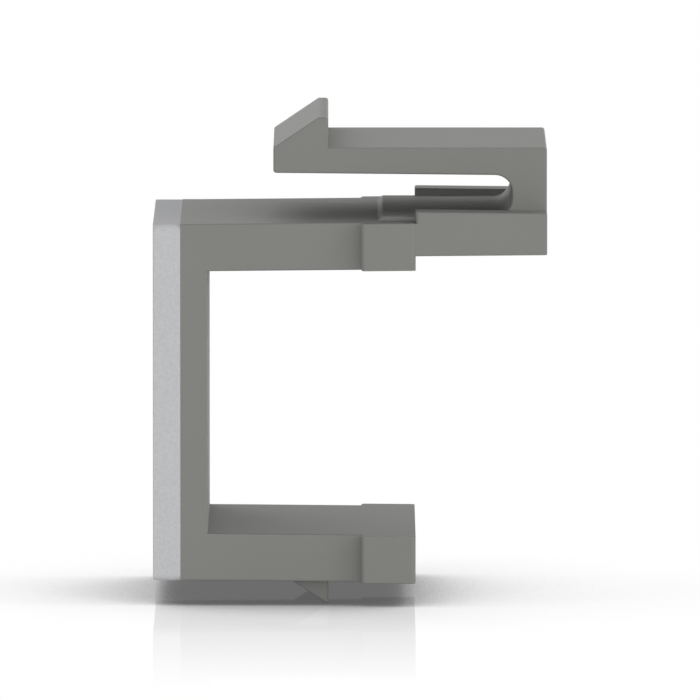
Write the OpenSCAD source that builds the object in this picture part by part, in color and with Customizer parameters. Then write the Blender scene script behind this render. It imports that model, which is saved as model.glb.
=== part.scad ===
// Blank keystone insert: a one-piece moulding that fills an unused module opening in a wall plate
// or panel. It has a front plate, two short arms with shoulder pads that stop against the back of
// the panel, a fixed tooth below and a sprung latch above.
// X runs from the front face back into the wall, Y across the plate and Z up.
// The origin is the centre of the front face.

/* [Front plate] */
// Width of the front plate
plate_w = 14.5; // [14:0.1:15]
// Height of the front plate
plate_h = 16.35; // [16:0.05:17]
// Thickness of the front plate
plate_t = 2.5; // [1.8:0.1:3.5]
// Depth of the fine-textured rim behind the front face
rim_t = 1.25; // [0.6:0.05:1.6]
// Radius on the rim's four long corners
rim_r = 0.3; // [0.1:0.05:0.6]

/* [Arms] */
// Thickness of each arm
arm_t = 2.17; // [1.6:0.01:2.6]
// Angle at which each arm leans away from the other
arm_lean = 0.5; // [0.1:0.1:2]
// Radius on the long corners of the plate's body and the arms
arm_r = 0.15; // [0.05:0.05:0.4]

/* [Panel grip] */
// Thickness of the panel lip held between the shoulder pads and the hook or tooth
panel_t = 1.5; // [1.2:0.1:2]
// Distance from the front face to the rear faces of the hook and the tooth
catch_x = 8; // [7.5:0.1:8.5]

/* [Shoulder pads] */
// Width over the pads and the rear block
shoulder_w = 16; // [15.5:0.1:17]
// Length of each pad along the insertion axis
pad_l = 2.5; // [2:0.1:4]
// Radius on the pads' upright front corners
pad_r = 0.2; // [0.05:0.05:0.5]
// Radius on the edge of each pad that faces the other
pad_edge_r = 0.12; // [0.05:0.01:0.3]

/* [Raised strip] */
// Distance from the shoulder pad's front to the foot of the strip's sloped front
strip_set_back = 0.78; // [0.4:0.01:1.4]
// Length of the strip's sloped front
strip_ramp_l = 0.23; // [0.1:0.01:0.5]
// Height of the strip above the pad, at the top of its sloped front
strip_h = 0.19; // [0.1:0.01:0.4]

/* [Rear block] */
// Overall length, from the front face to the back of the block
total_l = 18; // [17.5:0.1:21]
// Thickness of the block from its underside to the top of the strip
block_t = 1.69; // [1.4:0.01:2.2]
// Height of the side rails above the strip
rail_h = 0.33; // [0.2:0.01:0.8]
// Angle at which the rails' tops fall towards the rear
rail_fall = 0.6; // [0:0.1:1]

/* [Latch] */
// Width of the latch, its hook, the tooth and the strip under the latch
latch_w = 12.3; // [11:0.1:13]
// Height of the slot between the strip and the latch, at the bend
slot_h = 1.89; // [1.7:0.01:2.4]
// Thickness of the latch where it joins the bend
latch_t = 1.26; // [1:0.01:1.5]
// Angle by which the latch thins towards its tip
latch_taper = 0.56; // [0.1:0.01:1]
// Wall thickness of the bend at the rear
bend_t = 1.58; // [1.2:0.01:2]
// Radius inside the bend
bend_r = 0.8; // [0.4:0.05:0.8]
// Length of the latch in front of the hook's rear face
tip_l = 2.5; // [1.8:0.05:3]
// Radius on the lower edge of the tip
tip_r = 0.14; // [0.05:0.01:0.3]
// Radius on the long top edges of the latch
latch_r = 0.12; // [0.05:0.01:0.3]

/* [Hook] */
// Height of the hook above the latch's top face
hook_h = 1.38; // [1:0.01:1.6]
// Length of the hook's flat top
hook_flat_l = 0.45; // [0.2:0.05:0.8]
// Radius on the hook's rear edge
hook_r = 0.13; // [0.05:0.01:0.3]

/* [Tooth] */
// Depth of the tooth below the lower edge of the front plate
tooth_h = 1.16; // [0.8:0.01:1.4]
// Length of the tooth's ramp
tooth_l = 1.81; // [1.2:0.01:2.5]

/* [Hidden] */
// Straight pieces in each rounded corner of an outline
arc_steps = 8;
// How far a feature runs into the one that carries it
bite = 0.4;
// How far a cutting shape runs past what it cuts
past = 1;

edge_z = plate_h / 2;                     // upper edge of the front plate
arm_x = plate_t - bite;                   // where the arms start, inside the plate
pad_x = catch_x + panel_t;                // front faces of the shoulder pads
block_x = pad_x + pad_l;                  // front face of the rear block
strip_x = pad_x + strip_set_back;         // foot of the strip's sloped front
strip_top_x = strip_x + strip_ramp_l;     // top of the strip's sloped front
strip_z = arm_z(strip_top_x) + strip_h;   // top of the strip and floor of the slot
bend_x = total_l - bend_t;                // inner face of the bend
tip_x = catch_x - tip_l;                  // tip of the latch
latch_z = strip_z + slot_h + latch_t;     // top of the latch

smooth_grey = "#82827f";
textured_grey = "#bdbdbf";

// Height of the upper arm's outer face at a distance x behind the front face
function arm_z(x) = edge_z + (x - arm_x) * tan(arm_lean);

// Height of the latch's underside, which rises towards the tip
function latch_under_z(x) = latch_z - latch_t + (bend_x - bend_r - x) * tan(latch_taper);

// One corner of an outline, rounded to radius r, between the points before and after it
function corner_arc(before, corner, after, r) =
    r == 0 ? [corner] :
    let (
        to_before = (before - corner) / norm(before - corner),
        to_after = (after - corner) / norm(after - corner),
        half = acos(to_before * to_after) / 2,
        middle = (to_before + to_after) / norm(to_before + to_after),
        centre = corner + middle * r / sin(half),
        start = corner + to_before * r / tan(half) - centre,
        end = corner + to_after * r / tan(half) - centre,
        from = atan2(start[1], start[0]),
        turn = (atan2(end[1], end[0]) - from + 540) % 360 - 180
    )
    [for (i = [0 : arc_steps])
        centre + r * [cos(from + turn * i / arc_steps), sin(from + turn * i / arc_steps)]];

// An outline whose corners are [along, up, radius]
function rounded(corners) =
    let (
        count = len(corners),
        at = [for (c = corners) [c[0], c[1]]]
    )
    [for (i = [0 : count - 1])
        each corner_arc(at[(i + count - 1) % count], at[i], at[(i + 1) % count], corners[i][2])];

// A side outline in X and Z, made solid across the insert's width
module across(width) {
    rotate([90, 0, 0])
        linear_extrude(width, center = true)
            children();
}

// A bar along X from x = 0, with its lower face on z = 0 and its own radius on each pair of long
// corners
module bar(length, width, height, lower_r, upper_r) {
    rotate([90, 0, 90])
        linear_extrude(length)
            polygon(rounded([
                [-width / 2, 0, lower_r],
                [width / 2, 0, lower_r],
                [width / 2, height, upper_r],
                [-width / 2, height, upper_r]
            ]));
}

// The plate that closes the opening: a textured rim in front, a smooth body behind
module front_plate() {
    color(textured_grey)
        translate([0, 0, -edge_z])
            bar(rim_t, plate_w, plate_h, rim_r, rim_r);
    color(smooth_grey)
        translate([rim_t, 0, -edge_z])
            bar(plate_t - rim_t, plate_w, plate_h, arm_r, arm_r);
}

// The upper arm. The lower one is its mirror image.
module arm() {
    color(smooth_grey)
        translate([arm_x, 0, edge_z])
            rotate([0, -arm_lean, 0])
                translate([0, 0, -arm_t])
                    bar(pad_x + bite - arm_x, plate_w, arm_t, arm_r, arm_r);
}

// The upper arm's shoulder pad. It stands proud of the arm on both sides, and its upright front
// faces stop against the back of the panel.
module shoulder_pad() {
    color(smooth_grey)
        intersection() {
            across(shoulder_w)
                polygon(rounded([
                    [pad_x, arm_z(pad_x) - arm_t, pad_edge_r],
                    [block_x, arm_z(block_x) - arm_t, 0],
                    [block_x, arm_z(block_x), 0],
                    [pad_x, arm_z(pad_x), 0]
                ]));
            linear_extrude(arm_z(block_x) + past)
                polygon(rounded([
                    [pad_x, -shoulder_w / 2, pad_r],
                    [block_x, -shoulder_w / 2, 0],
                    [block_x, shoulder_w / 2, 0],
                    [pad_x, shoulder_w / 2, pad_r]
                ]));
        }
}

// The block behind the upper pad, with a channel between its side rails
module rear_block() {
    length = total_l - block_x;
    under_z = strip_z - block_t;
    rail_z = strip_z + rail_h;
    color(smooth_grey)
        difference() {
            across(shoulder_w)
                polygon([
                    [block_x - bite, under_z],
                    [block_x, under_z],
                    [total_l, under_z + length * tan(arm_lean)],
                    [total_l, rail_z - length * tan(rail_fall)],
                    [block_x, rail_z],
                    [block_x, strip_z - bite],
                    [block_x - bite, strip_z - bite]
                ]);
            translate([block_x - past, -latch_w / 2, strip_z])
                cube([length + 2 * past, latch_w, rail_h + past]);
        }
}

// The strip that lies along the top under the latch
module raised_strip() {
    color(smooth_grey)
        across(latch_w)
            polygon([
                [strip_x, strip_z - bite],
                [strip_x, arm_z(strip_x)],
                [strip_top_x, strip_z],
                [total_l, strip_z],
                [total_l, strip_z - bite]
            ]);
}

// The latch without its hook: it rises at the rear, bends over the strip and runs forward
module latch() {
    bend_end_x = bend_x - 2 * bend_r;
    color(smooth_grey)
        intersection() {
            across(latch_w)
                polygon(rounded([
                    [tip_x, latch_under_z(tip_x), tip_r],
                    [bend_x, latch_under_z(bend_x), bend_r],
                    [bend_x, strip_z, bend_r],
                    [bend_end_x, strip_z, 0],
                    [bend_end_x, strip_z - bite, 0],
                    [total_l, strip_z - bite, 0],
                    [total_l, latch_z, 0],
                    [tip_x, latch_z, 0]
                ]));
            translate([tip_x, 0, strip_z - bite])
                bar(total_l - tip_x, latch_w, latch_z - strip_z + bite, 0, latch_r);
        }
}

// The ramped hook on the latch's free end
module hook() {
    color(smooth_grey)
        across(latch_w)
            polygon(rounded([
                [tip_x, latch_z, 0],
                [tip_x, latch_z - bite, 0],
                [catch_x, latch_z - bite, 0],
                [catch_x, latch_z + hook_h, hook_r],
                [catch_x - hook_flat_l, latch_z + hook_h, 0]
            ]));
}

// The fixed tooth under the lower arm
module tooth() {
    color(smooth_grey)
        across(latch_w)
            polygon([
                [catch_x - tooth_l, bite - edge_z],
                [catch_x - tooth_l, -edge_z],
                [catch_x, -edge_z - tooth_h],
                [catch_x, bite - edge_z]
            ]);
}

// The whole moulding
module blank_insert() {
    front_plate();
    for (side = [0, 1])
        mirror([0, 0, side]) {
            arm();
            shoulder_pad();
        }
    rear_block();
    raised_strip();
    latch();
    hook();
    tooth();
}

blank_insert();
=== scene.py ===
"""Blank keystone insert: the finished look of the one-piece moulding, and the studio it stands in.

X runs from the front face back into the wall, Y across the plate and Z up, as in the CAD frame.
Shapes are worked out in millimetres, so that rounding and fusing have numbers of a handy size, and
the finished piece is scaled once to metres.
"""

import logging
import math
from collections.abc import Callable
from dataclasses import dataclass, field
from enum import Enum

import bmesh
import bpy
from mathutils import Matrix, Vector


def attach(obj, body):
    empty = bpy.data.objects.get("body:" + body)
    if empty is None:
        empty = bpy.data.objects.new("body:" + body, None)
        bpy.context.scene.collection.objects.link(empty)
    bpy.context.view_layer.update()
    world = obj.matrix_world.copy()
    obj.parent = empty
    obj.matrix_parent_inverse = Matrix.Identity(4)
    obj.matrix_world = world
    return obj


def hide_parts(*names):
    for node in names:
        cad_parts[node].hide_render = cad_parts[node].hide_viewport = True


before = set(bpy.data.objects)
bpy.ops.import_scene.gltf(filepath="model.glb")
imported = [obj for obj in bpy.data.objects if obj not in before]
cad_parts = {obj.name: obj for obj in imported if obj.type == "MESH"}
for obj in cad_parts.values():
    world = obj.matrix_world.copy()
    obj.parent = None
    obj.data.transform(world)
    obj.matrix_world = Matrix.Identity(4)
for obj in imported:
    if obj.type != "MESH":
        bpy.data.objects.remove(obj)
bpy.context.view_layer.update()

LOG = logging.getLogger("blank insert")
MM = 0.001
ARC_PIECES = 8  # straight pieces in each rounded corner of an outline
EDGE_PIECES = 3  # straight pieces in each small rounded edge
OVERLAP = 0.4  # mm that a feature runs into the one that carries it
PAST_SIDES = 9.0  # mm either way, wider than the insert
PAST_ENDS = 10.0  # mm either way, higher than what a column is cut with
ON_FACE = 0.01  # mm within which an edge lies on a face
NO_TURN = 0.01  # the most that an edge along the insert points across it
WELD = 0.0005  # mm within which two points are one
PLACES = 5  # decimals of a millimetre that a point keeps
CORNER_DEGREES = 35.0  # an edge that turns less is no corner to round
CREASE_DEGREES = 38.0  # an edge that turns more is shaded as a crease
FLAT_DEGREES = 0.1  # faces that turn less lie in one plane
AREA_WEIGHT = 60  # how much large faces lead the shading, where 50 is neutral
WHITE = (1.0, 1.0, 1.0, 1.0)

# A Mix node has a set of sockets for each kind of value, and these are the colours'.
MIX_SHARE, MIX_FIRST, MIX_SECOND, MIX_RESULT = 0, 6, 7, 2

Solid = bpy.types.Object
Corner = tuple[float, float, float]  # its two places and its radius, in mm
EdgeTest = Callable[[Vector, Vector], bool]  # told an edge's middle and its direction


class Plane(Enum):
    """The plane that an outline is drawn in, held as the turn that stands it up."""

    SIDE = (math.pi / 2, 0.0, 0.0)  # along and up, carried across the width
    END = (math.pi / 2, 0.0, math.pi / 2)  # across and up, carried along the insert
    TOP = (0.0, 0.0, 0.0)  # along and across, carried up


class Join(Enum):
    """How solids are put together."""

    ALL = "UNION"
    SHARED = "INTERSECT"


class Arm(Enum):
    """The two arms, held as the way that each lies from the middle."""

    UPPER = 1
    LOWER = -1


class Flank(Enum):
    """The insert's two sides, held as the way that a side outline is carried to reach them.

    The near one faces the camera.
    """

    NEAR = 1
    FAR = -1


# ---------------------------------------------------------------------------------------------
# Small tools
# ---------------------------------------------------------------------------------------------


def linear(colour: str) -> tuple[float, float, float, float]:
    """Turn an sRGB colour into Blender's linear values.

    Args:
        colour: Six hex digits after a hash.

    Returns:
        Linear red, green and blue, and an alpha of one.
    """
    parts = [int(colour[i : i + 2], 16) / 255 for i in (1, 3, 5)]
    red, green, blue = (p / 12.92 if p <= 0.04045 else ((p + 0.055) / 1.055) ** 2.4 for p in parts)
    return red, green, blue, 1.0


def add_node(
    tree: bpy.types.NodeTree,
    kind: str,
    inputs: dict[str | int, object] | None = None,
    **settings: object,
) -> bpy.types.Node:
    """Add a node to a tree, with its settings, values and links.

    Args:
        tree: The shader or geometry tree.
        kind: The node's type name.
        inputs: For each input's name or number, a value or the output that feeds it.
        **settings: Properties of the node itself.

    Returns:
        The new node.
    """
    node = tree.nodes.new(kind)
    for name, value in settings.items():
        setattr(node, name, value)
    for name, value in (inputs or {}).items():
        socket = node.inputs[name]
        if isinstance(value, bpy.types.NodeSocket):
            tree.links.new(value, socket)
        else:
            socket.default_value = value
    return node


def new_material(name: str) -> tuple[bpy.types.Material, bpy.types.NodeTree]:
    """Start a material with an empty node tree.

    Args:
        name: The material's name.

    Returns:
        The material and its tree.
    """
    material = bpy.data.materials.new(name)
    material.use_nodes = True
    material.node_tree.nodes.clear()
    return material, material.node_tree


def plain_copy(source: Solid, name: str) -> Solid:
    """Make a plain mesh of an object as its modifiers shape it, and take the object away.

    Args:
        source: The object with its modifiers.
        name: The new object's name.

    Returns:
        An object with the shaped mesh and no modifiers.
    """
    graph = bpy.context.evaluated_depsgraph_get()
    mesh = bpy.data.meshes.new_from_object(
        source.evaluated_get(graph), preserve_all_data_layers=True, depsgraph=graph
    )
    mesh.name = name
    old = source.data
    bpy.data.objects.remove(source)
    bpy.data.meshes.remove(old)
    solid = bpy.data.objects.new(name, mesh)
    bpy.context.scene.collection.objects.link(solid)
    return solid


def settle(solid: Solid) -> None:
    """Round the points to a hundredth of a micrometre, so that faces that meet share one plane.

    Args:
        solid: The solid, in millimetres.
    """
    for vert in solid.data.vertices:
        vert.co = [round(part, PLACES) for part in vert.co]


def fuse(name: str, solids: list[Solid], join: Join = Join.ALL) -> Solid:
    """Put solids together into one closed mesh.

    Args:
        name: The new object's name.
        solids: The solids, which are used up.
        join: Whether all of them count, or only what they share.

    Returns:
        The one solid.
    """
    first, *others = solids
    for other in others:
        step = first.modifiers.new(other.name, "BOOLEAN")
        step.operation = join.value
        step.solver = "EXACT"
        step.material_mode = "TRANSFER"
        step.object = other
    whole = plain_copy(first, name)
    for other in others:
        mesh = other.data
        bpy.data.objects.remove(other)
        bpy.data.meshes.remove(mesh)
    settle(whole)
    return whole


def round_edges(
    solid: Solid, radius: float, chosen: EdgeTest, pieces: int = EDGE_PIECES
) -> Solid:
    """Round the outer edges that a test picks.

    Args:
        solid: The solid, in millimetres.
        radius: The edges' radius in millimetres.
        chosen: Told an edge's middle and direction, says whether it is rounded.
        pieces: Straight pieces in each rounding.

    Returns:
        The same solid.
    """
    shape = bmesh.new()
    shape.from_mesh(solid.data)
    picked = []
    for edge in shape.edges:
        if edge.calc_face_angle_signed() < math.radians(CORNER_DEGREES):
            continue
        start, end = (vert.co for vert in edge.verts)
        if chosen((start + end) / 2, (end - start).normalized()):
            picked.append(edge)
    bmesh.ops.bevel(
        shape,
        geom=picked,
        offset=radius,
        segments=pieces,
        profile=0.5,
        affect="EDGES",
        clamp_overlap=False,
        material=-1,
    )
    shape.to_mesh(solid.data)
    shape.free()
    settle(solid)
    return solid


# ---------------------------------------------------------------------------------------------
# The section that most of the moulding follows
# ---------------------------------------------------------------------------------------------


class SectionTree:
    """The rule of the moulding's shape: a closed outline, its corners rounded, carried straight."""

    def __init__(self) -> None:
        """Build the Geometry Nodes tree."""
        self.tree = bpy.data.node_groups.new("moulded section", "GeometryNodeTree")
        face = self.tree.interface
        for name, kind in (
            ("Outline", "NodeSocketGeometry"),
            ("From", "NodeSocketFloat"),
            ("To", "NodeSocketFloat"),
            ("Corner pieces", "NodeSocketInt"),
            ("Turn", "NodeSocketVector"),
            ("Plastic", "NodeSocketMaterial"),
        ):
            face.new_socket(name, in_out="INPUT", socket_type=kind)
        face.new_socket("Solid", in_out="OUTPUT", socket_type="NodeSocketGeometry")
        self._fill()

    def _fill(self) -> None:
        """Add the tree's nodes, from the outline to the solid."""
        tree = self.tree
        given = add_node(tree, "NodeGroupInput").outputs
        radius = add_node(
            tree, "GeometryNodeInputNamedAttribute", {"Name": "corner_radius"}, data_type="FLOAT"
        )
        curve = add_node(tree, "GeometryNodeMeshToCurve", {"Mesh": given["Outline"]})
        rounded = add_node(
            tree,
            "GeometryNodeFilletCurve",
            {
                "Curve": curve.outputs[0],
                "Count": given["Corner pieces"],
                "Radius": radius.outputs[0],
                "Limit Radius": True,
            },
            mode="POLY",
        )
        sheet = add_node(tree, "GeometryNodeFillCurve", {"Curve": rounded.outputs[0]}, mode="NGONS")
        clean = add_node(
            tree, "GeometryNodeMergeByDistance", {"Geometry": sheet.outputs[0], "Distance": WELD}
        )
        start = add_node(tree, "ShaderNodeCombineXYZ", {"Z": given["From"]})
        placed = add_node(
            tree,
            "GeometryNodeTransform",
            {"Geometry": clean.outputs[0], "Translation": start.outputs[0]},
        )
        length = add_node(
            tree, "ShaderNodeMath", {0: given["To"], 1: given["From"]}, operation="SUBTRACT"
        )
        way = add_node(tree, "ShaderNodeCombineXYZ", {"Z": length.outputs[0]})
        carried = add_node(
            tree,
            "GeometryNodeExtrudeMesh",
            {
                "Mesh": placed.outputs[0],
                "Offset": way.outputs[0],
                "Offset Scale": 1.0,
                "Individual": False,
            },
            mode="FACES",
        )
        back = add_node(tree, "GeometryNodeFlipFaces", {"Mesh": placed.outputs[0]})
        both = add_node(tree, "GeometryNodeJoinGeometry")
        tree.links.new(back.outputs[0], both.inputs[0])
        tree.links.new(carried.outputs[0], both.inputs[0])
        closed = add_node(
            tree, "GeometryNodeMergeByDistance", {"Geometry": both.outputs[0], "Distance": WELD}
        )
        turn = add_node(tree, "FunctionNodeEulerToRotation", {0: given["Turn"]})
        stood = add_node(
            tree,
            "GeometryNodeTransform",
            {"Geometry": closed.outputs[0], "Rotation": turn.outputs[0]},
        )
        real = add_node(tree, "GeometryNodeRealizeInstances", {"Geometry": stood.outputs[0]})
        dressed = add_node(
            tree,
            "GeometryNodeSetMaterial",
            {"Geometry": real.outputs[0], "Material": given["Plastic"]},
        )
        add_node(tree, "NodeGroupOutput", {"Solid": dressed.outputs[0]})

    def solid(
        self,
        name: str,
        corners: list[Corner],
        reach: tuple[float, float],
        plastic: bpy.types.Material,
        plane: Plane = Plane.SIDE,
    ) -> Solid:
        """Make a solid from an outline.

        Args:
            name: The new object's name.
            corners: Each corner's two places and its radius, in millimetres, going round once.
            reach: Where the outline is carried from and to, in millimetres.
            plastic: The material of the faces.
            plane: The plane that the outline is drawn in.

        Returns:
            The closed solid, in millimetres.
        """
        count = len(corners)
        mesh = bpy.data.meshes.new(name)
        points = [(along, up, 0.0) for along, up, _ in corners]
        mesh.from_pydata(points, [(i, (i + 1) % count) for i in range(count)], [])
        radii = mesh.attributes.new("corner_radius", "FLOAT", "POINT")
        radii.data.foreach_set("value", [radius for _, _, radius in corners])
        outline = bpy.data.objects.new(name + " outline", mesh)
        bpy.context.scene.collection.objects.link(outline)
        rule = outline.modifiers.new("section", "NODES")
        rule.node_group = self.tree
        values = {
            "From": reach[0],
            "To": reach[1],
            "Corner pieces": ARC_PIECES,
            "Turn": plane.value,
            "Plastic": plastic,
        }
        for item in self.tree.interface.items_tree:
            if item.name in values:
                rule[item.identifier] = values[item.name]
        solid = plain_copy(outline, name)
        self._tidy(solid)
        settle(solid)
        return solid

    @staticmethod
    def _tidy(solid: Solid) -> None:
        """Drop the outline's own empty material slot, and turn the faces outwards.

        Args:
            solid: The new solid.
        """
        solid.data.materials.pop(index=0)
        shape = bmesh.new()
        shape.from_mesh(solid.data)
        bmesh.ops.recalc_face_normals(shape, faces=shape.faces)
        shape.to_mesh(solid.data)
        shape.free()


# ---------------------------------------------------------------------------------------------
# Finishes
# ---------------------------------------------------------------------------------------------


@dataclass(frozen=True)
class SatinAbs:
    """ABS moulded against a smooth steel tool: an even satin grey with hardly any grain.

    The real surface has a faint slow change of tone where the plastic flowed, and a very fine
    roughness that spreads highlights but can't be seen as grain.
    """

    colour: str = "#7b7b78"
    flow_colour: str = "#7e7e7b"
    flow_size: float = 4.0  # mm from one tone to the next
    grain_size: float = 0.06  # mm, drawn about twice as coarse as the tool's polish lines
    grain_height: float = 0.0006  # mm
    roughness: tuple[float, float] = (0.56, 0.64)  # over the grain, least and most
    ior: float = 1.53
    gloss: float = 0.27  # where 0.5 is all that the IOR gives

    def material(self) -> bpy.types.Material:
        """Make the satin plastic.

        Returns:
            The material.
        """
        # The polished tool leaves an even skin, which shows broad soft highlights and no grain.
        material, tree = new_material("satin moulded ABS")
        place = add_node(tree, "ShaderNodeTexCoord").outputs["Object"]
        flow = add_node(
            tree,
            "ShaderNodeTexNoise",
            {"Vector": place, "Scale": 1 / (self.flow_size * MM), "Detail": 3.0, "Roughness": 0.55},
        )
        tone = add_node(
            tree,
            "ShaderNodeMix",
            {
                MIX_SHARE: flow.outputs["Fac"],
                MIX_FIRST: linear(self.colour),
                MIX_SECOND: linear(self.flow_colour),
            },
            data_type="RGBA",
        )
        grain = add_node(
            tree,
            "ShaderNodeTexNoise",
            {"Vector": place, "Scale": 1 / (self.grain_size * MM), "Detail": 2.0, "Roughness": 0.5},
        )
        rough = add_node(
            tree,
            "ShaderNodeMapRange",
            {
                "Value": grain.outputs["Fac"],
                "To Min": self.roughness[0],
                "To Max": self.roughness[1],
            },
        )
        bump = add_node(
            tree,
            "ShaderNodeBump",
            {"Height": grain.outputs["Fac"], "Distance": self.grain_height * MM, "Strength": 1.0},
        )
        shader = add_node(
            tree,
            "ShaderNodeBsdfPrincipled",
            {
                "Base Color": tone.outputs[MIX_RESULT],
                "Roughness": rough.outputs[0],
                "Normal": bump.outputs[0],
                "IOR": self.ior,
                "Specular IOR Level": self.gloss,
            },
        )
        add_node(tree, "ShaderNodeOutputMaterial", {"Surface": shader.outputs[0]})
        return material


@dataclass(frozen=True)
class SparkErodedAbs:
    """The same ABS moulded against spark-eroded steel: a pale, matt, finely pitted surface.

    The pits scatter light, so the rim looks lighter than the smooth body and has a fine even grain
    and no highlights. The pits' floors are painted a darker grey, as painted shade in the pits.
    """

    colour: str = "#c6c6c8"
    # painted shade: the darker grey painted at the pits' floors
    pit_shade_colour: str = "#b7b8ba"
    pit_size: float = 0.1  # mm, about twice the real pits, so that the grain just shows
    pit_height: float = 0.004  # mm
    pit_values: tuple[float, float] = (0.3, 0.7)  # the noise at a pit's floor and at its brim
    roughness: tuple[float, float] = (0.72, 0.86)  # at a pit's brim and at its floor
    ior: float = 1.53
    gloss: float = 0.2  # where 0.5 is all that the IOR gives

    def material(self) -> bpy.types.Material:
        """Make the pitted plastic.

        Returns:
            The material.
        """
        # The pitted skin scatters the light, so the same plastic looks paler, even and dry.
        material, tree = new_material("spark-eroded moulded ABS")
        place = add_node(tree, "ShaderNodeTexCoord").outputs["Object"]
        pits = add_node(
            tree,
            "ShaderNodeTexNoise",
            {"Vector": place, "Scale": 1 / (self.pit_size * MM), "Detail": 4.0, "Roughness": 0.65},
        )
        depth = add_node(
            tree,
            "ShaderNodeMapRange",
            {
                "Value": pits.outputs["Fac"],
                "From Min": self.pit_values[0],
                "From Max": self.pit_values[1],
            },
        )
        # Painted shade: the tone runs from the darker grey at the pits' floors to the paler brims.
        tone = add_node(
            tree,
            "ShaderNodeMix",
            {
                MIX_SHARE: depth.outputs[0],
                MIX_FIRST: linear(self.pit_shade_colour),
                MIX_SECOND: linear(self.colour),
            },
            data_type="RGBA",
        )
        rough = add_node(
            tree,
            "ShaderNodeMapRange",
            {
                "Value": pits.outputs["Fac"],
                "To Min": self.roughness[1],
                "To Max": self.roughness[0],
            },
        )
        bump = add_node(
            tree,
            "ShaderNodeBump",
            {"Height": depth.outputs[0], "Distance": self.pit_height * MM, "Strength": 1.0},
        )
        shader = add_node(
            tree,
            "ShaderNodeBsdfPrincipled",
            {
                "Base Color": tone.outputs[MIX_RESULT],
                "Roughness": rough.outputs[0],
                "Normal": bump.outputs[0],
                "IOR": self.ior,
                "Specular IOR Level": self.gloss,
            },
        )
        add_node(tree, "ShaderNodeOutputMaterial", {"Surface": shader.outputs[0]})
        return material


# ---------------------------------------------------------------------------------------------
# The parts of the moulding
# ---------------------------------------------------------------------------------------------


@dataclass
class Sizes:
    """The sizes in millimetres and degrees that the moulding's features share."""

    plate_w: float = 14.5
    plate_h: float = 16.35
    plate_t: float = 2.5
    rim_t: float = 1.25
    arm_start: float = 2.1  # where the arms begin to lean, inside the plate
    arm_t: float = 2.17
    arm_lean: float = 0.5
    pad_x: float = 9.5  # front faces of the pads
    block_x: float = 12.0  # rear faces of the pads
    total_l: float = 18.0
    shoulder_w: float = 16.0
    latch_w: float = 12.3
    catch_x: float = 8.0  # rear faces of the hook and the tooth
    strip_z: float = 8.4384  # top of the raised strip

    def arm_z(self, along: float) -> float:
        """Give the height of the upper arm's outer face at a distance behind the front face."""
        return self.plate_h / 2 + (along - self.arm_start) * math.tan(math.radians(self.arm_lean))


@dataclass
class TexturedRim:
    """The rim that shows round the front of the closed opening."""

    sizes: Sizes
    plastic: bpy.types.Material
    long_radius: float = 0.3  # the four long corners
    front_radius: float = 0.06  # the edge round the front face

    def build(self, section: SectionTree) -> Solid:
        """Make the rim, with its four long corners and its front edge rounded.

        Args:
            section: The rule that carries an outline.

        Returns:
            The rim's solid.
        """
        wide, high = self.sizes.plate_w / 2, self.sizes.plate_h / 2
        face = ((-wide, -high), (wide, -high), (wide, high), (-wide, high))
        corners = [(y, z, self.long_radius) for y, z in face]
        rim = section.solid("rim", corners, (0.0, self.sizes.rim_t), self.plastic, Plane.END)
        return round_edges(rim, self.front_radius, lambda middle, way: middle.x < ON_FACE)


@dataclass
class BodyAndArms:
    """The smooth body of the plate and the two arms that lean away from each other."""

    sizes: Sizes
    plastic: bpy.types.Material
    long_radius: float = 0.1  # the long corners of the body and the arms
    long_pieces: int = 6

    def build(self, section: SectionTree) -> Solid:
        """Make the body and the arms as one bracket.

        Args:
            section: The rule that carries an outline.

        Returns:
            The bracket's solid.
        """
        s = self.sizes
        end = s.pad_x + OVERLAP
        half = [
            (s.plate_t, s.arm_z(s.plate_t) - s.arm_t, 0.0),
            (end, s.arm_z(end) - s.arm_t, 0.0),
            (end, s.arm_z(end), 0.0),
            (s.arm_start, s.plate_h / 2, 0.0),
            (s.rim_t, s.plate_h / 2, 0.0),
        ]
        mirrored = [(x, -z, radius) for x, z, radius in reversed(half)]
        bracket = section.solid(
            "bracket", half + mirrored, (-s.plate_w / 2, s.plate_w / 2), self.plastic
        )
        rear_of_rim, front_of_end = s.rim_t + ON_FACE, end - ON_FACE
        return round_edges(
            bracket,
            self.long_radius,
            lambda middle, way: abs(way.y) < NO_TURN and rear_of_rim < middle.x < front_of_end,
            self.long_pieces,
        )


@dataclass
class ShoulderPad:
    """One arm's pad: its upright front faces stop against the back of the panel."""

    sizes: Sizes
    plastic: bpy.types.Material
    arm: Arm
    facing_radius: float = 0.12  # the front edge that faces the other pad
    corner_radius: float = 0.2  # the upright corners
    outer_radius: float = 0.06  # the edges away from the other pad

    def build(self, section: SectionTree) -> Solid:
        """Make the pad, with its upright corners well rounded.

        Args:
            section: The rule that carries an outline.

        Returns:
            The pad's solid.
        """
        s, up = self.sizes, self.arm.value
        outline = [
            (s.pad_x, up * (s.arm_z(s.pad_x) - s.arm_t), self.facing_radius),
            (s.block_x, up * (s.arm_z(s.block_x) - s.arm_t), 0.0),
            (s.block_x, up * s.arm_z(s.block_x), 0.0),
            (s.pad_x, up * s.arm_z(s.pad_x), 0.0),
        ]
        wide = s.shoulder_w / 2
        plan = ((s.pad_x, -wide), (s.block_x, -wide), (s.block_x, wide), (s.pad_x, wide))
        corners = [(x, y, self.corner_radius) for x, y in plan]
        slab = section.solid("slab", outline, (-PAST_SIDES, PAST_SIDES), self.plastic)
        column = section.solid("column", corners, (-PAST_ENDS, PAST_ENDS), self.plastic, Plane.TOP)
        pad = fuse(f"{self.arm.name.lower()} pad", [slab, column], Join.SHARED)
        outer = s.plate_h / 2
        return round_edges(pad, self.outer_radius, lambda middle, way: up * middle.z > outer)


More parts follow.
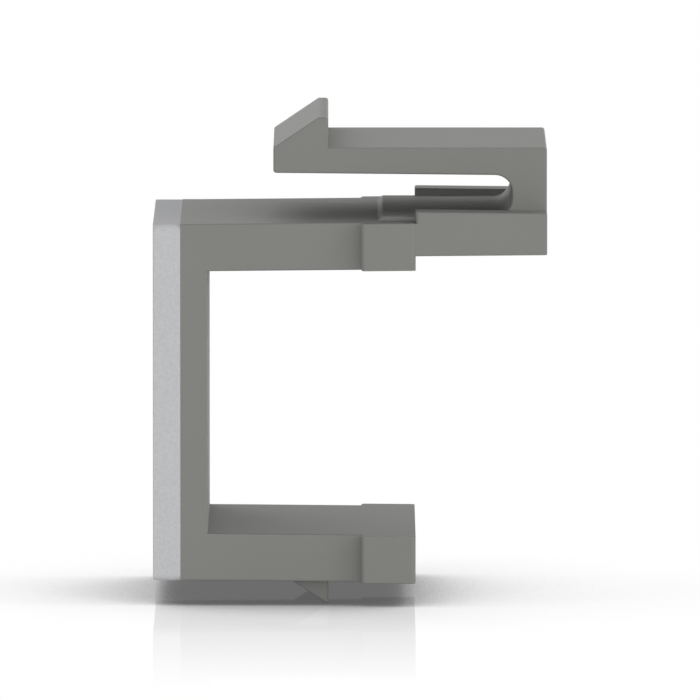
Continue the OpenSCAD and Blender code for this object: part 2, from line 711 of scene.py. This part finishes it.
@dataclass
class RearBlock:
    """The block behind the upper pad, with a rail along each side of the channel on its top.

    Its sides are set back a hair from the pad's, so the pad's rear corners show as soft upright
    lines.
    """

    sizes: Sizes
    plastic: bpy.types.Material
    wide: float = 7.95  # half its width
    start: float = 11.8  # inside the pad
    thickness: float = 1.69  # from its underside to the top of the raised strip
    front_radius: float = 0.18  # the rails' upright front corners
    rear_radius: float = 0.1  # the upright rear corners
    edge_radius: float = 0.06
    rail_h: float = 0.33  # from the raised strip up
    rail_fall: float = 0.6  # degrees, towards the rear
    top_drop: float = 0.03  # from the arm's line down to the block's top
    root_drop: float = 0.1  # from the arm's line down to the foot of the rails and the floor
    floor_lap: float = 0.05  # how far the floor runs under each rail
    latch_foot: float = 1.1  # length at the rear where the floor rises round the latch

    def build(self, section: SectionTree) -> list[Solid]:
        """Make the block, its two rails and the channel's floor.

        Args:
            section: The rule that carries an outline.

        Returns:
            The four solids.
        """
        s = self.sizes
        under, low = s.strip_z - self.thickness, s.arm_z(s.block_x) - self.top_drop
        rise = (s.total_l - s.block_x) * math.tan(math.radians(s.arm_lean))
        body = [
            (self.start, under, 0.0),
            (s.total_l, under + rise, 0.0),
            (s.total_l, low, 0.0),
            (self.start, low, 0.0),
        ]
        slab = section.solid("slab", body, (-PAST_SIDES, PAST_SIDES), self.plastic)
        block = fuse("block", [slab, self._column(section, self.start, 0.0)], Join.SHARED)
        lowest = under + self.thickness / 4
        round_edges(block, self.edge_radius, lambda middle, way: middle.z < lowest)
        rails = [self._rail(section, flank) for flank in Flank]
        return [block, *rails, self._floor(section)]

    def _rail_z(self, along: float) -> float:
        """Give the height of the rails' tops at a distance behind the front face."""
        fall = (along - self.sizes.block_x) * math.tan(math.radians(self.rail_fall))
        return self.sizes.strip_z + self.rail_h - fall

    def _column(self, section: SectionTree, start: float, radius: float) -> Solid:
        """Make a column with the block's outline as seen from above.

        Args:
            section: The rule that carries an outline.
            start: Where the outline starts, behind the front face.
            radius: The radius of its front corners.

        Returns:
            The column's solid.
        """
        end = self.sizes.total_l
        corners = [
            (start, -self.wide, radius),
            (end, -self.wide, self.rear_radius),
            (end, self.wide, self.rear_radius),
            (start, self.wide, radius),
        ]
        return section.solid("column", corners, (-PAST_ENDS, PAST_ENDS), self.plastic, Plane.TOP)

    def _rail(self, section: SectionTree, flank: Flank) -> Solid:
        """Make one rail.

        Args:
            section: The rule that carries an outline.
            flank: The side of the block that it stands on.

        Returns:
            The rail's solid.
        """
        s, side = self.sizes, flank.value
        low = s.arm_z(s.block_x) - self.root_drop
        outline = [
            (s.block_x, low, 0.0),
            (s.total_l, low, 0.0),
            (s.total_l, self._rail_z(s.total_l), 0.0),
            (s.block_x, self._rail_z(s.block_x), 0.0),
        ]
        start, end = sorted((side * s.latch_w / 2, side * PAST_SIDES))
        bar = section.solid("bar", outline, (start, end), self.plastic)
        column = self._column(section, s.block_x, self.front_radius)
        rail = fuse(f"{flank.name.lower()} rail", [bar, column], Join.SHARED)
        highest = s.strip_z + self.rail_h / 2
        return round_edges(rail, self.edge_radius, lambda middle, way: middle.z > highest)

    def _floor(self, section: SectionTree) -> Solid:
        """Make the channel's floor, which rises at the rear to fill round the latch's foot.

        Args:
            section: The rule that carries an outline.

        Returns:
            The floor's solid.
        """
        s = self.sizes
        low, foot = s.arm_z(s.block_x) - self.root_drop, s.total_l - self.latch_foot
        outline = [
            (s.block_x, low, 0.0),
            (s.total_l, low, 0.0),
            (s.total_l, self._rail_z(s.total_l), 0.0),
            (foot, self._rail_z(foot), 0.0),
            (foot, s.strip_z, 0.0),
            (s.block_x, s.strip_z, 0.0),
        ]
        wide = s.latch_w / 2 + self.floor_lap
        return section.solid("channel floor", outline, (-wide, wide), self.plastic)


@dataclass
class FoldedLatch:
    """The raised strip, the bend at the rear, the tapering tongue and its hook, in one fold."""

    sizes: Sizes
    plastic: bpy.types.Material
    strip_x: float = 10.28  # foot of the strip's sloped front
    ramp_l: float = 0.23  # length of that slope
    bend_x: float = 16.42  # inner face of the bend
    bend_radius: float = 0.8  # inside the bend
    slot_h: float = 1.89  # from the strip to the tongue, at the bend
    thickness: float = 1.26  # of the tongue, at the bend
    taper: float = 0.56  # degrees by which the tongue thins towards its tip
    tip_x: float = 5.5
    tip_radius: float = 0.14  # the lower edge of the tip
    side_radius: float = 0.08  # the edges of both sides
    side_pieces: int = 4
    corner_radius: float = 0.12  # the top edge at the rear and the foot of the hook's ramp
    hook_h: float = 1.38
    hook_flat: float = 0.45  # length of the hook's flat top
    hook_radius: float = 0.13  # the rear edge of that flat
    root_depth: float = 0.2  # how far the strip runs down into the block

    def build(self, section: SectionTree) -> Solid:
        """Make the fold from one outline.

        Args:
            section: The rule that carries an outline.

        Returns:
            The latch's solid, with the strip it rises from.
        """
        s = self.sizes
        root, under = s.strip_z - self.root_depth, s.strip_z + self.slot_h
        top = under + self.thickness
        peak = top + self.hook_h
        rise = math.tan(math.radians(self.taper))
        tip_under = under + (self.bend_x - self.bend_radius - self.tip_x) * rise
        outline = [
            (self.strip_x, root, 0.0),
            (s.total_l, root, 0.0),
            (s.total_l, top, self.corner_radius),
            (s.catch_x, top, 0.0),
            (s.catch_x, peak, self.hook_radius),
            (s.catch_x - self.hook_flat, peak, 0.0),
            (self.tip_x, top, self.corner_radius),
            (self.tip_x, tip_under, self.tip_radius),
            (self.bend_x, under - self.bend_radius * rise, self.bend_radius),
            (self.bend_x, s.strip_z, self.bend_radius),
            (self.strip_x + self.ramp_l, s.strip_z, 0.0),
            (self.strip_x, s.arm_z(self.strip_x), 0.0),
        ]
        side, lowest = s.latch_w / 2, s.strip_z - self.root_depth / 2
        latch = section.solid("latch", outline, (-side, side), self.plastic)
        return round_edges(
            latch,
            self.side_radius,
            lambda middle, way: abs(abs(middle.y) - side) < ON_FACE and middle.z > lowest,
            self.side_pieces,
        )


@dataclass
class FixedTooth:
    """The ramped tooth under the lower arm, which hooks behind the panel first."""

    sizes: Sizes
    plastic: bpy.types.Material
    height: float = 1.16  # from the plate's lower edge down
    length: float = 1.81  # of its ramp
    edge_radius: float = 0.05

    def build(self, section: SectionTree) -> Solid:
        """Make the tooth.

        Args:
            section: The rule that carries an outline.

        Returns:
            The tooth's solid.
        """
        s = self.sizes
        edge = -s.plate_h / 2
        outline = [
            (s.catch_x - self.length, edge + OVERLAP, 0.0),
            (s.catch_x - self.length, edge, 0.0),
            (s.catch_x, edge - self.height, 0.0),
            (s.catch_x, edge + OVERLAP, 0.0),
        ]
        side = s.latch_w / 2
        tooth = section.solid("tooth", outline, (-side, side), self.plastic)
        return round_edges(
            tooth,
            self.edge_radius,
            lambda middle, way: abs(abs(middle.y) - side) < ON_FACE and middle.z < edge - ON_FACE,
        )


@dataclass
class Moulding:
    """The whole insert: one piece of plastic, with one finish on its rim and one on the rest."""

    body_finish: SatinAbs = field(default_factory=SatinAbs)
    rim_finish: SparkErodedAbs = field(default_factory=SparkErodedAbs)
    sizes: Sizes = field(default_factory=Sizes)

    def build(self) -> Solid:
        """Make every feature and fuse them into one closed shape.

        Returns:
            The finished piece, in metres.
        """
        section = SectionTree()
        satin, pitted = self.body_finish.material(), self.rim_finish.material()
        solids = [
            BodyAndArms(self.sizes, satin).build(section),
            TexturedRim(self.sizes, pitted).build(section),
            ShoulderPad(self.sizes, satin, Arm.UPPER).build(section),
            ShoulderPad(self.sizes, satin, Arm.LOWER).build(section),
            *RearBlock(self.sizes, satin).build(section),
            FoldedLatch(self.sizes, satin).build(section),
            FixedTooth(self.sizes, satin).build(section),
        ]
        for solid in solids:
            LOG.info("%s: %d faces", solid.name, len(solid.data.polygons))
        piece = fuse("blank_insert_moulding", solids)
        self._join_flat_faces(piece)
        piece = self._shade(piece)
        piece.data.transform(Matrix.Scale(MM, 4))
        return piece

    @staticmethod
    def _join_flat_faces(piece: Solid) -> None:
        """Make one face of those that lie in one plane and have one finish.

        Args:
            piece: The fused moulding.
        """
        shape = bmesh.new()
        shape.from_mesh(piece.data)
        bmesh.ops.remove_doubles(shape, verts=shape.verts, dist=WELD)
        bmesh.ops.dissolve_limit(
            shape,
            angle_limit=math.radians(FLAT_DEGREES),
            use_dissolve_boundaries=False,
            verts=shape.verts,
            edges=shape.edges,
            delimit={"MATERIAL"},
        )
        shape.to_mesh(piece.data)
        shape.free()

    @staticmethod
    def _shade(piece: Solid) -> Solid:
        """Shade the flat faces flat and the roundings round.

        Args:
            piece: The fused moulding.

        Returns:
            The same shape with its shading stored in it.
        """
        piece.data.shade_smooth()
        piece.data.set_sharp_from_angle(angle=math.radians(CREASE_DEGREES))
        shading = piece.modifiers.new("flat faces", "WEIGHTED_NORMAL")
        shading.mode = "FACE_AREA"
        shading.weight = AREA_WEIGHT
        shading.keep_sharp = True
        return plain_copy(piece, "blank_insert_moulding")


# ---------------------------------------------------------------------------------------------
# The studio
# ---------------------------------------------------------------------------------------------


@dataclass(frozen=True)
class WhiteBoard:
    """White board in the soft light: it shows plain white, with a painted shadow of the insert.

    It has a faint gloss, so that the insert shows in it close to where it stands; the reflection is
    darkened by the painted shadow too. The board also glows, with the painted shadow in its glow,
    though it is no lamp, which keeps the insert's lower edges from going dark.
    """

    gloss_roughness: float = 0.04
    gloss_ior: float = 1.045  # low, so that the sheen shows only at a slant
    gloss_reach: tuple[float, float] = (2.0, 40.0)  # mm from the insert, from full to none
    stand_size: tuple[float, float] = (18.0, 16.0)  # mm, the space that the insert stands on
    bounce: str = "#e6e6e6"  # the paint, for the light that it throws back at the insert
    # painted glow: how brightly the board itself glows onto the insert, where white is one
    glow: float = 0.2  # the light from below, where white is one
    # the painted shadow: its reach, the open sky it runs over, its darkest tone, lean and samples
    shadow_reach: float = 26.0  # mm from the insert
    shadow_range: tuple[float, float] = (0.19, 0.885)  # share of open sky, darkest and clear
    shadow_depth: float = 0.152  # brightness where the shadow is darkest
    shadow_lean: float = 0.05  # how much more the sky towards the insert's rear counts
    shadow_samples: int = 8

    def material(self) -> bpy.types.Material:
        """Make the board.

        Returns:
            The material.
        """
        # Plain white with a painted shadow, and a sheen that shows the insert beside where it
        # stands.
        material, tree = new_material("white studio board")
        lean = add_node(tree, "ShaderNodeCombineXYZ", {"X": self.shadow_lean, "Z": 1.0})
        open_sky = add_node(
            tree,
            "ShaderNodeAmbientOcclusion",
            {"Distance": self.shadow_reach * MM, "Normal": lean.outputs[0]},
            samples=self.shadow_samples,
        )
        # Painted shadow: the board's tone darkens where little sky is open round a place.
        shadow = add_node(
            tree,
            "ShaderNodeMapRange",
            {
                "Value": open_sky.outputs["AO"],
                "From Min": self.shadow_range[0],
                "From Max": self.shadow_range[1],
                "To Min": self.shadow_depth,
                "To Max": 1.0,
            },
            interpolation_type="SMOOTHSTEP",
        )
        bright = add_node(tree, "ShaderNodeEmission", {"Color": shadow.outputs[0], "Strength": 1.0})
        # The reflection is darkened by the painted shadow as well.
        gloss = add_node(
            tree,
            "ShaderNodeBsdfGlossy",
            {"Color": shadow.outputs[0], "Roughness": self.gloss_roughness},
        )
        polish = add_node(tree, "ShaderNodeFresnel", {"IOR": self.gloss_ior})
        share = add_node(
            tree,
            "ShaderNodeMath",
            {0: polish.outputs[0], 1: self._nearness(tree)},
            operation="MULTIPLY",
        )
        seen = add_node(
            tree,
            "ShaderNodeMixShader",
            {0: share.outputs[0], 1: bright.outputs[0], 2: gloss.outputs[0]},
        )
        plain = add_node(tree, "ShaderNodeBsdfDiffuse", {"Color": linear(self.bounce)})
        # Painted glow: the board gives off light, with the painted shadow in it, though it is no
        # lamp.
        painted_glow = add_node(
            tree, "ShaderNodeEmission", {"Color": shadow.outputs[0], "Strength": self.glow}
        )
        bounce_and_glow = add_node(tree, "ShaderNodeAddShader", {0: plain.outputs[0], 1: painted_glow.outputs[0]})
        surface = add_node(
            tree,
            "ShaderNodeMixShader",
            {0: looking_ray(tree), 1: bounce_and_glow.outputs[0], 2: seen.outputs[0]},
        )
        add_node(tree, "ShaderNodeOutputMaterial", {"Surface": surface.outputs[0]})
        return material

    def _nearness(self, tree: bpy.types.NodeTree) -> bpy.types.NodeSocket:
        """Measure how near a place on the board is to where the insert stands.

        Args:
            tree: The shader tree.

        Returns:
            A value that is one beside the insert and nought far from it.
        """
        long, wide = (size / 2 * MM for size in self.stand_size)
        nought = (0.0, 0.0, 0.0)
        any_height = 1.0  # m, so that only the distance along the board counts
        place = add_node(tree, "ShaderNodeTexCoord").outputs["Object"]
        for operation, other in (
            ("SUBTRACT", (long, 0.0, 0.0)),
            ("ABSOLUTE", nought),
            ("SUBTRACT", (long, wide, any_height)),
            ("MAXIMUM", nought),
        ):
            step = add_node(tree, "ShaderNodeVectorMath", {0: place, 1: other}, operation=operation)
            place = step.outputs["Vector"]
        away = add_node(tree, "ShaderNodeVectorMath", {0: place}, operation="LENGTH")
        near, far = self.gloss_reach
        fade = add_node(
            tree,
            "ShaderNodeMapRange",
            {
                "Value": away.outputs["Value"],
                "From Min": near * MM,
                "From Max": far * MM,
                "To Min": 1.0,
                "To Max": 0.0,
            },
            interpolation_type="SMOOTHSTEP",
        )
        return fade.outputs[0]


def looking_ray(tree: bpy.types.NodeTree) -> bpy.types.NodeSocket:
    """Tell the rays that look at the background from those that carry its light.

    Args:
        tree: The shader tree.

    Returns:
        A value that is one for camera, gloss and glass rays.
    """
    path = add_node(tree, "ShaderNodeLightPath").outputs
    looking = path["Is Camera Ray"]
    for kind in ("Is Glossy Ray", "Is Transmission Ray"):
        either = add_node(tree, "ShaderNodeMath", {0: looking, 1: path[kind]}, operation="MAXIMUM")
        looking = either.outputs[0]
    return looking


@dataclass(frozen=True)
class SoftLight:
    """A large soft light that hangs round the insert and faces it.

    Its level is how bright it makes a white surface that faces it, where white is one.
    """

    name: str
    azimuth: float  # degrees round from the camera's side, towards the rear of the insert
    elevation: float  # degrees above the floor
    level: float
    size: float  # m across

    def hang(self, aim: Vector, distance: float) -> None:
        """Hang the light.

        Args:
            aim: The place that it faces, in metres.
            distance: How far from that place it hangs, in metres.
        """
        lamp = bpy.data.lights.new(self.name, "AREA")
        lamp.shape = "DISK"
        lamp.size = self.size
        # One pi is for the disk, which spreads its light over a half sphere, and one for the
        # white surface, which does the same.
        lamp.energy = self.level * (math.pi * distance) ** 2
        light = bpy.data.objects.new(self.name, lamp)
        turn, tilt = math.radians(self.azimuth), math.radians(self.elevation)
        flat = math.cos(tilt)
        way = Vector((math.sin(turn) * flat, -math.cos(turn) * flat, math.sin(tilt)))
        light.location = aim + way * distance
        light.rotation_euler = way.to_track_quat("Z", "Y").to_euler()
        light.visible_camera = False
        bpy.context.scene.collection.objects.link(light)


@dataclass
class Studio:
    """The floor, the soft light and the camera."""

    floor_z: float = -9.34  # mm, just under the tooth
    floor_half: float = 3000.0  # mm
    ambient: float = 0.34  # the light from all round, where white is one
    light_distance: float = 1.5  # m
    lights: tuple[SoftLight, ...] = (
        SoftLight("key", 33.0, 29.0, 0.32, 2.2),
        SoftLight("front fill", -6.0, 6.0, 0.22, 0.3),
        SoftLight("right fill", 72.0, 8.0, 0.36, 1.2),
        SoftLight("left fill", -50.0, 6.0, 0.06, 1.2),
        SoftLight("left back light", -148.0, 28.0, 0.22, 1.0),
        SoftLight("right back light", 150.0, 1.0, 0.18, 1.0),
    )
    aim: tuple[float, float, float] = (9.003, 0.0, 1.778)  # mm, what the photograph centres on
    distance: float = 960.0  # mm
    pitch: float = 4.95  # degrees down
    sensor: float = 36.0  # mm
    lens: float = 1073.1  # mm

    def floor(self) -> None:
        """Lay the floor."""
        far, z = self.floor_half * MM, self.floor_z * MM
        corners = [(-far, -far, z), (far, -far, z), (far, far, z), (-far, far, z)]
        mesh = bpy.data.meshes.new("studio_floor")
        mesh.from_pydata(corners, [], [(0, 1, 2, 3)])
        mesh.materials.append(WhiteBoard().material())
        board = bpy.data.objects.new("studio_floor", mesh)
        bpy.context.scene.collection.objects.link(board)

    def surroundings(self) -> None:
        """Light the scene evenly from all round, and show white where a ray meets nothing."""
        world = bpy.data.worlds.new("studio")
        bpy.context.scene.world = world
        world.use_nodes = True
        tree = world.node_tree
        tree.nodes.clear()
        glow = add_node(tree, "ShaderNodeBackground", {"Color": WHITE, "Strength": self.ambient})
        white = add_node(tree, "ShaderNodeBackground", {"Color": WHITE, "Strength": 1.0})
        both = add_node(
            tree,
            "ShaderNodeMixShader",
            {0: looking_ray(tree), 1: glow.outputs[0], 2: white.outputs[0]},
        )
        add_node(tree, "ShaderNodeOutputWorld", {"Surface": both.outputs[0]})

    def camera(self) -> None:
        """Set up the camera where the photograph was taken from."""
        lens = bpy.data.cameras.new("camera")
        lens.sensor_width = self.sensor
        lens.lens = self.lens
        camera = bpy.data.objects.new("camera", lens)
        down = math.radians(self.pitch)
        back = Vector((0.0, -math.cos(down), math.sin(down))) * self.distance
        camera.location = (Vector(self.aim) + back) * MM
        camera.rotation_euler = (math.radians(90) - down, 0.0, 0.0)
        bpy.context.scene.collection.objects.link(camera)
        bpy.context.scene.camera = camera

    def build(self) -> None:
        """Set up the whole studio, and show colours as they are."""
        bpy.context.scene.view_settings.view_transform = "Standard"
        self.camera()
        self.floor()
        self.surroundings()
        for light in self.lights:
            light.hang(Vector(self.aim) * MM, self.light_distance)


def main() -> None:
    """Build the studio and the insert, hang the insert on root and hide the imported part."""
    logging.basicConfig(level=logging.INFO, format="%(name)s: %(message)s")
    Studio().build()
    piece = Moulding().build()
    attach(piece, "root")
    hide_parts("blank_insert")
    LOG.info("%s rides on root: %d faces", piece.name, len(piece.data.polygons))


if __name__ == "__main__":
    main()
